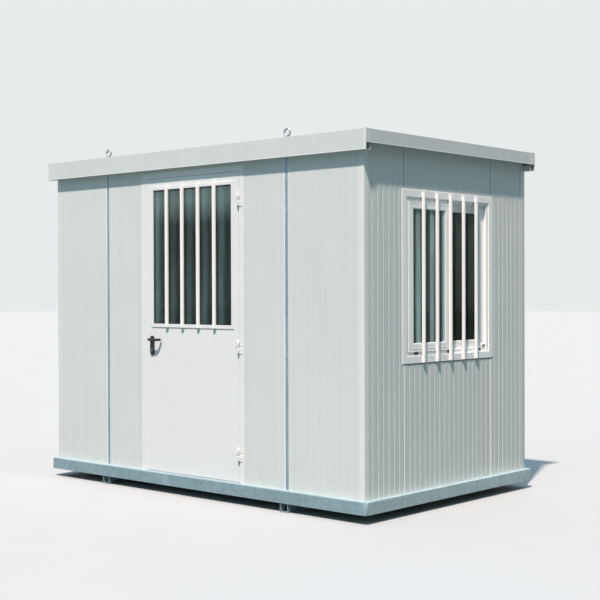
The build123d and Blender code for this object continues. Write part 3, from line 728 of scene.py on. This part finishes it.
# Dark foam shows in the two joints in the right wall, and below the window a sealant fillet
# covers each. Both plans are (out of the wall, along it).
FOAM_PLAN = in_mm((-1.3, -1.9), (-1.3, 1.9), (-6.0, 1.9), (-6.0, -1.9))
FILLET_PLAN = in_mm((-1.0, -2.9), (0.2, -2.9), (2.4, 1.9), (1.92, 2.5), (-1.0, 2.5))
FILLET_GAP = 2 * MM
BASE_BEAD_HEIGHT = 4.5 * MM
foam = Shape()
fillets = Shape()
for joint_y in (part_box("right_wall_front")[1][1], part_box("right_wall_rear")[0][1]):
    for shape, plan, low, high in (
        (foam, FOAM_PLAN, rail_top, wall_top),
        (fillets, FILLET_PLAN, rail_top + BASE_BEAD_HEIGHT, opening[2] - FILLET_GAP),
    ):
        outline = [(wall_face_right + out, joint_y + along) for out, along in plan]
        shape.strip(outline, low, high, "Z")
finish_piece("panel_joint_foam", foam, rubber, "cabin")
finish_piece("joint_fillets", fillets, silicone, "cabin")

# A bead of sealant lies between the walls and the base rails.
BASE_BEAD_SECTION = in_mm(
    (3.0, -0.2), (-4.5, -0.2), (-3.375, 2.2), (-1.5, 3.6), (0.0, 4.5), (3.0, 4.5)
)


def on_rail(u, v, height):
    return (u, v, rail_top + height)


base_bead = Shape()
walls_plan = (wall_face_left, wall_face_right, wall_face_front, wall_face_rear)
base_bead.surround(on_rail, walls_plan, BASE_BEAD_SECTION)
finish_piece("base_sealant", base_bead, grey_sealant, "cabin")

# The mitred corners of the base rails are welded across their top flanges.
WELD_SECTION = in_mm((-4.0, -0.5), (-2.4, 1.12), (0.0, 1.6), (2.4, 1.12), (4.0, -0.5))
WELD_STEP = 3.5 * MM
WELD_START = 8 * MM
WELD_END = 3 * MM
WELD_SWELLS = (0.8, 1.0)
rail_end_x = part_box("base_end_rails")[1][0] - WELD_START
rail_end_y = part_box("base_long_rails")[1][1] - WELD_START
welds = Shape()
for x_out in (-1, 1):
    for y_out in (-1, 1):
        start = Vector((x_out * rail_end_x, y_out * rail_end_y, rail_top))
        end = Vector((
            x_out * (wall_face_right + WELD_END), y_out * (wall_face_rear + WELD_END), rail_top
        ))
        along = (end - start).normalized()
        across = Vector((-along.y, along.x, 0))
        rings = []
        for step in range(int((end - start).length / WELD_STEP) + 1):
            centre = start + along * step * WELD_STEP
            swell = WELD_SWELLS[step % 2]
            rings.append([
                centre + across * side * swell + Vector((0, 0, up * (swell if up > 0 else 1)))
                for side, up in WELD_SECTION
            ])
        welds.loft(rings)
finish_piece("rail_welds", welds, zinc, "cabin", smooth_angle=80)

# ------------------------------------------------------------------ roof edge
# The lower edges of the fascias are folded into a hem, given as (out, up).
HEM_SECTION = in_mm((-0.4, 6.0), (0.16, 6.0), (0.8, 3.6), (0.8, 0.3), (0.48, 0.0), (-0.4, 0.0))
FRONT_CAP_LEG = 20 * MM
SIDE_CAP_LEG = 50 * MM
caps_low, caps_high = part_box("eaves_corner_caps")
front_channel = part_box("front_eaves_channel")
rear_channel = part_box("rear_eaves_channel")
sides_low, sides_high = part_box("side_fascias")
hems = Shape()
for face, outward, foot, axis, number, leg in (
    (front_channel[0][1], -1, front_channel[0][2], "X", 0, FRONT_CAP_LEG),
    (rear_channel[1][1], 1, rear_channel[0][2], "X", 0, FRONT_CAP_LEG),
    (sides_low[0], -1, sides_low[2], "Y", 1, SIDE_CAP_LEG),
    (sides_high[0], 1, sides_low[2], "Y", 1, SIDE_CAP_LEG),
):
    outline = [(face + outward * out, foot + up) for out, up in HEM_SECTION]
    hems.strip(outline, caps_low[number] + leg, caps_high[number] - leg, axis)
finish_piece("fascia_hems", hems, cap_paint, "cabin", smooth_angle=60)

# Each eye bolt has a washer under its collar; profiles are (along the axis, radius).
UP = (0, 0, 1)
EYE_WASHER = in_mm((-0.2, 23.0), (2.4, 23.0), (3.0, 22.0), (3.0, 16.0))
EYE_RING_RADIUS = 31.5 * MM
EYE_COLLAR_RADIUS = 17 * MM
eyes_low, eyes_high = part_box("lifting_eyes")
washers = Shape()
for eye_x in (eyes_low[0] + EYE_RING_RADIUS, eyes_high[0] - EYE_RING_RADIUS):
    for eye_y in (eyes_low[1] + EYE_COLLAR_RADIUS, eyes_high[1] - EYE_COLLAR_RADIUS):
        washers.turned((eye_x, eye_y, eyes_low[2]), UP, EYE_WASHER, sides=36)
finish_piece("lifting_eye_washers", washers, zinc_bright, "cabin")

# Screws with sealing washers hold the roof sheet along its ribs.
ROOF_RIBS = 11
ROOF_SCREW_ROWS = (-0.82, -0.28, 0.28, 0.82)
ROOF_WASHER = in_mm((-0.5, 9.0), (1.2, 9.0), (1.8, 7.0))
ROOF_SCREW = in_mm((1.0, 6.5), (2.4, 6.5), (2.4, 4.4), (6.0, 4.2), (6.6, 3.2))
sheet_low, sheet_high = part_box("roof_sheet")
rib_pitch = (sheet_high[0] - sheet_low[0]) / ROOF_RIBS
roof_washers = Shape()
roof_screws = Shape()
for index in range(ROOF_RIBS):
    for screw_y in ROOF_SCREW_ROWS:
        top = (sheet_low[0] + rib_pitch * (index + 0.5), screw_y, sheet_high[2])
        roof_washers.turned(top, UP, ROOF_WASHER, sides=18)
        roof_screws.turned(top, UP, ROOF_SCREW, sides=6)
finish_piece("roof_screw_washers", roof_washers, rubber, "cabin")
finish_piece("roof_screws", roof_screws, zinc_bright, "cabin", smooth_angle=20)

# ------------------------------------------------------------------ door details
JAMB_WIDTH = 57 * MM
LEAF_GAP = 5 * MM
leaf_low, leaf_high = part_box("door_leaf")
latch_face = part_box("door_latch_jamb")[0][0] + JAMB_WIDTH
hinge_face = leaf_high[0] + LEAF_GAP
head_face = leaf_high[2] + LEAF_GAP
sill_face = leaf_low[2] - LEAF_GAP

# A pale seal fills the gap round the leaf; it stands nearer to the leaf on two sides.
FRAME_SEAL_SECTION = in_mm(
    (-1.4, -8.0), (2.72, -7.4), (3.4, -4.5), (3.06, -1.4), (1.7, -0.5), (-1.4, -0.4)
)
SEAL_CLOSER = 1.2 * MM
frame_seal = Shape()
frame_seal.surround(
    on(FRONT, leaf_low[1]),
    (latch_face, hinge_face - SEAL_CLOSER, sill_face + SEAL_CLOSER, head_face),
    FRAME_SEAL_SECTION,
)
finish_piece("door_frame_seal", frame_seal, pale_rubber, "cabin")

# A dark rubber lip sits on the stop behind the leaf.
STOP_SEAL_SECTION = in_mm((0.0, 0.0), (7.0, 0.0), (5.0, 2.4), (1.0, 2.4))
STOP_SEAL_INSET = 7 * MM
STOP_GAP = 3.2 * MM
stop_seal = Shape()
stop_seal.surround(
    on(FRONT, leaf_high[1] + STOP_GAP),
    (
        latch_face + STOP_SEAL_INSET, hinge_face - STOP_SEAL_INSET,
        sill_face + STOP_SEAL_INSET, head_face - STOP_SEAL_INSET,
    ),
    STOP_SEAL_SECTION,
)
finish_piece("door_stop_seal", stop_seal, rubber, "cabin")

# Each hinge has four screws in its frame plate and four in its leaf plate, and a nylon pin end.
HINGE_SPACING = 0.2
HINGE_BARREL = 7.5 * MM
HINGE_PLATE = 3 * MM
HINGE_SCREW_HEAD = round_head(3.6 * MM, 1.6 * MM)
HINGE_SCREW_STEP = 14 * MM
HINGE_SCREW_LEVELS = (0.28, 0.72)
FRAME_SCREWS_START = 12 * MM
LEAF_SCREWS_START = -28 * MM
PIN_END = in_mm((-0.3, 6.4), (3.0, 6.4), (5.0, 4.6), (5.6, 2.0))


def tiers(node):
    """The lowest and highest corners of each group of a node's points, split where height jumps."""
    points = sorted((vert.co for vert in nodes[node].data.vertices), key=lambda point: point.z)
    groups = [[points[0]]]
    for point in points[1:]:
        if point.z - groups[-1][-1].z > HINGE_SPACING:
            groups.append([])
        groups[-1].append(point)
    return [
        [[choose(point[axis] for point in group) for axis in range(3)] for choose in (min, max)]
        for group in groups
    ]


leaf_hinge_low, leaf_hinge_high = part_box("leaf_hinges")
axis_x = leaf_hinge_high[0] - HINGE_BARREL
axis_y = leaf_hinge_low[1] + HINGE_BARREL
pin_ends = Shape()
frame_hinge_screws = Shape()
leaf_hinge_screws = Shape()
for node, screws, plate_start in (
    ("frame_hinges", frame_hinge_screws, axis_x + FRAME_SCREWS_START),
    ("leaf_hinges", leaf_hinge_screws, axis_x + LEAF_SCREWS_START),
):
    for low, high in tiers(node):
        for level in HINGE_SCREW_LEVELS:
            screw_z = low[2] + (high[2] - low[2]) * level
            for step in (0, 1):
                place = (plate_start + step * HINGE_SCREW_STEP, leaf_low[1] - HINGE_PLATE, screw_z)
                screws.turned(place, FRONT.normal, HINGE_SCREW_HEAD, sides=16)
for low, high in tiers("frame_hinges"):
    pin_ends.turned((axis_x, axis_y, low[2]), (0, 0, -1), PIN_END)
finish_piece("hinge_pin_ends", pin_ends, nylon, "cabin")
finish_piece("frame_hinge_screws", frame_hinge_screws, door_paint, "cabin")
finish_piece("leaf_hinge_screws", leaf_hinge_screws, door_paint, "door")

# A profile cylinder with a keyway sits below the lever on both faces.
LEVER_DROP = 27 * MM
CYLINDER_DROP = 72 * MM
CYLINDER = in_mm((-0.5, 8.5), (1.6, 8.5), (2.2, 7.8), (2.2, 5.2))
CYLINDER_FOOT = ((-5 * MM, 0.0, -23 * MM), (5 * MM, 1.6 * MM, 0.0))
KEYWAY = ((-1.1 * MM, 1.8 * MM, -5 * MM), (1.1 * MM, 2.5 * MM, 3 * MM))
lock_cylinders = Shape()
keyways = Shape()
for node, number, outward in (("handle_plate_outside", 0, -1), ("handle_plate_inside", 1, 1)):
    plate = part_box(node)
    lock_x = (plate[0][0] + plate[1][0]) / 2
    lock_z = plate[1][2] - LEVER_DROP - CYLINDER_DROP
    face = plate[number][1]
    lock_cylinders.turned((lock_x, face, lock_z), (0, outward, 0), CYLINDER, sides=32)
    for shape, block in ((lock_cylinders, CYLINDER_FOOT), (keyways, KEYWAY)):
        near, far = (
            (lock_x + across, face + outward * out, lock_z + up) for across, out, up in block
        )
        shape.box(
            (near[0], min(near[1], far[1]), near[2]), (far[0], max(near[1], far[1]), far[2])
        )
finish_piece("lock_cylinders", lock_cylinders, zinc_bright, "door", 0.4 * MM)
finish_piece("lock_keyways", keyways, rubber, "door", 0.2 * MM)

# A face plate covers the lock in the leaf's edge, and a strike plate faces it on the jamb.
LOCK_PLATE_HALF = 118 * MM
LOCK_MIDDLE_DROP = 40 * MM
LOCK_PLATE_BACK = 8 * MM
lock_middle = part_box("handle_plate_outside")[1][2] - LEVER_DROP - LOCK_MIDDLE_DROP
for name, body, face, sunk, rise, setback, edge in (
    ("lock_face_plate", "door", leaf_low[0], -0.2 * MM, 1 * MM, 10 * MM, 0.1 * MM),
    ("strike_plate", "cabin", latch_face, -1 * MM, 0.5 * MM, 11 * MM, 0.2 * MM),
):
    plate = Shape()
    plate.box(
        (face + sunk, leaf_low[1] + setback, lock_middle - LOCK_PLATE_HALF),
        (face + rise, leaf_high[1] - LOCK_PLATE_BACK, lock_middle + LOCK_PLATE_HALF),
    )
    finish_piece(name, plate, zinc_bright, body, edge)

# ------------------------------------------------------------------ window details
# Three covers close the drain slots in the frame's foot.
DRAINS = in_mm((-367, 52, 9), (7, 40, 11), (380, 24, 9))  # (from the middle, length, half height)
DRAIN_ROUND_STEPS = 8
DRAIN_DROP = 12 * MM
DRAIN_STEPS = ((1.0, 1.0 * MM), (0.8, 2.5 * MM))  # (share of the height, reach)
DRAIN_SUNK = 0.5 * MM
TRACK_SETBACK = 6 * MM
sash_low, sash_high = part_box("left_sash")
track_face = sash_high[0] - TRACK_SETBACK
drain_level = sash_low[2] - DRAIN_DROP
window_middle = (opening[0] + opening[1]) / 2
drains = Shape()
for offset, length, half_height in DRAINS:
    centre = window_middle + offset
    run = length / 2 - half_height
    for share, reach in DRAIN_STEPS:
        half = half_height * share
        outline = []
        for end_y, start in ((centre + run, -math.pi / 2), (centre - run, math.pi / 2)):
            for step in range(DRAIN_ROUND_STEPS + 1):
                turn = start + math.pi * step / DRAIN_ROUND_STEPS
                outline.append((end_y + half * math.cos(turn), drain_level + half * math.sin(turn)))
        drains.strip(outline, track_face - DRAIN_SUNK, track_face + reach, "X")
finish_piece("window_drain_covers", drains, nylon, "cabin", 0.3 * MM)

# A small catch with a lever holds the right sash at its lower corner.
CATCH_SECTION = in_mm(
    (-0.3, 3.0), (9.0, 3.0), (13.0, 8.0), (11.0, 20.0), (4.0, 26.0), (-0.3, 26.0)
)
CATCH_ENDS = (-44 * MM, -1 * MM)
CATCH_LEVER = in_mm((9.0, -36.0, 9.0), (16.0, -3.0, 19.0))
catch_low, catch_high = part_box("right_sash")
corner = (catch_high[0], catch_high[1], catch_low[2])
catch = Shape()
catch.strip(
    [(corner[0] + out, corner[2] + up) for out, up in CATCH_SECTION],
    corner[1] + CATCH_ENDS[0], corner[1] + CATCH_ENDS[1], "Y",
)
finish_piece("sash_catch", catch, window_coat, "cabin", 1.0 * MM)
catch_lever = Shape()
catch_lever.box(*([a + b for a, b in zip(corner, point)] for point in CATCH_LEVER))
finish_piece("sash_catch_lever", catch_lever, nylon, "cabin", 1.2 * MM)

# ------------------------------------------------------------------ floor, light and camera
FLOOR_HALF = 60.0
FLOOR_THICKNESS = 0.05
FLOOR_SEEN = (0.430, 0.446, 0.440)
FLOOR_BOUNCE = (0.105, 0.137, 0.139)
floor_shape = Shape()
floor_shape.box((-FLOOR_HALF, -FLOOR_HALF, -FLOOR_THICKNESS), (FLOOR_HALF, FLOOR_HALF, 0.0))
floor_data = bpy.data.meshes.new("floor")
floor_shape.mesh.to_mesh(floor_data)
floor_shape.mesh.free()
floor = bpy.data.objects.new("floor", floor_data)
bpy.context.scene.collection.objects.link(floor)
floor_finish = Finish("floor_paint", FLOOR_SEEN, roughness=0.9)
floor_finish.shade(floor_finish.noise(scale=2.0, detail=5.0), NOISE_SPAN, by=(0.985, 1.01))
seen = floor_finish.add("LightPath").outputs["Is Camera Ray"]
floor_finish.colour = floor_finish.blend(FLOOR_BOUNCE, floor_finish.colour, seen)
floor_data.materials.append(floor_finish.done())

# The sky that lights the object is high and pale blue, darker low on the right, and has a warm
# soft box behind on the left. Rays that see it directly meet a plain pale backdrop.
SKY_SEEN = (0.807, 0.831, 0.839)
SKY_HIGH = (0.360, 0.700, 0.950)
SKY_LOW = (0.045, 0.062, 0.058)
SKY_SOFTBOX = (1.050, 0.980, 0.900)
world = bpy.data.worlds.new("studio")
bpy.context.scene.world = world
sky = Nodes(world)
direction = sky.add("TexCoord").outputs["Generated"]


def ramp(letter, over, to=(0.0, 1.0)):
    """A smooth step along one axis of the sky's direction."""
    return sky.spread(sky.part(direction, letter), over, to, "SMOOTHSTEP")


dark_low = ramp("Z", over=(0.4, 0.7), to=(1.0, 0.0))
dark_side = sky.compute("MULTIPLY", ramp("X", over=(0.1, 0.5)), dark_low)
soft_side = sky.compute("MULTIPLY", ramp("X", over=(-0.1, -0.5)), ramp("Y", over=(0.1, 0.5)))
tone = sky.blend(SKY_LOW, SKY_HIGH, ramp("Z", over=(0.10, 0.40)))
tone = sky.blend(tone, SKY_LOW, dark_side)
tone = sky.blend(tone, SKY_SOFTBOX, soft_side)
lighting = sky.add("Background")
sky.feed(lighting.inputs["Color"], tone)
backdrop = sky.add("Background")
sky.feed(backdrop.inputs["Color"], SKY_SEEN)
rays = sky.add("LightPath").outputs
direct = sky.compute("MAXIMUM", rays["Is Camera Ray"], rays["Is Glossy Ray"])
direct = sky.compute("MAXIMUM", direct, rays["Is Transmission Ray"])
surface = sky.switch(direct, lighting.outputs[0], backdrop.outputs[0])
sky.join(surface, sky.add("OutputWorld").inputs[0])

SUN_STRENGTH = 5.6
SUN_COLOUR = (1.0, 0.825, 0.755)
SUN_ELEVATION = math.radians(60.5)
SUN_AZIMUTH = math.radians(23.7)
SUN_SOFTNESS = math.radians(2.2)
SUN_DISTANCE = 8.0
sun_data = bpy.data.lights.new("key_light", "SUN")
sun_data.energy = SUN_STRENGTH
sun_data.color = SUN_COLOUR
sun_data.angle = SUN_SOFTNESS
sun = bpy.data.objects.new("key_light", sun_data)
toward_sun = Vector((
    math.sin(SUN_AZIMUTH) * math.cos(SUN_ELEVATION),
    -math.cos(SUN_AZIMUTH) * math.cos(SUN_ELEVATION),
    math.sin(SUN_ELEVATION),
))
sun.rotation_euler = toward_sun.to_track_quat("Z", "Y").to_euler()
sun.location = toward_sun * SUN_DISTANCE
bpy.context.scene.collection.objects.link(sun)

CAMERA_PLACE = (6.3648, -6.9147, 1.4754)
CAMERA_YAW = 0.73027
CAMERA_PITCH = -0.00977
CAMERA_ROLL = 0.00306
CAMERA_SENSOR = 36.0
CAMERA_LENS = 73.904
camera_data = bpy.data.cameras.new("camera")
camera_data.sensor_width = CAMERA_SENSOR
camera_data.lens = CAMERA_LENS
camera = bpy.data.objects.new("camera", camera_data)
bpy.context.scene.collection.objects.link(camera)
aim = (
    Matrix.Rotation(CAMERA_YAW, 4, "Z")
    @ Matrix.Rotation(CAMERA_PITCH, 4, "X")
    @ Matrix.Rotation(CAMERA_ROLL, 4, "Y")
    @ Matrix.Rotation(math.pi / 2, 4, "X")
)
camera.matrix_world = Matrix.Translation(CAMERA_PLACE) @ aim
bpy.context.scene.camera = camera
bpy.context.scene.view_settings.view_transform = "Standard"
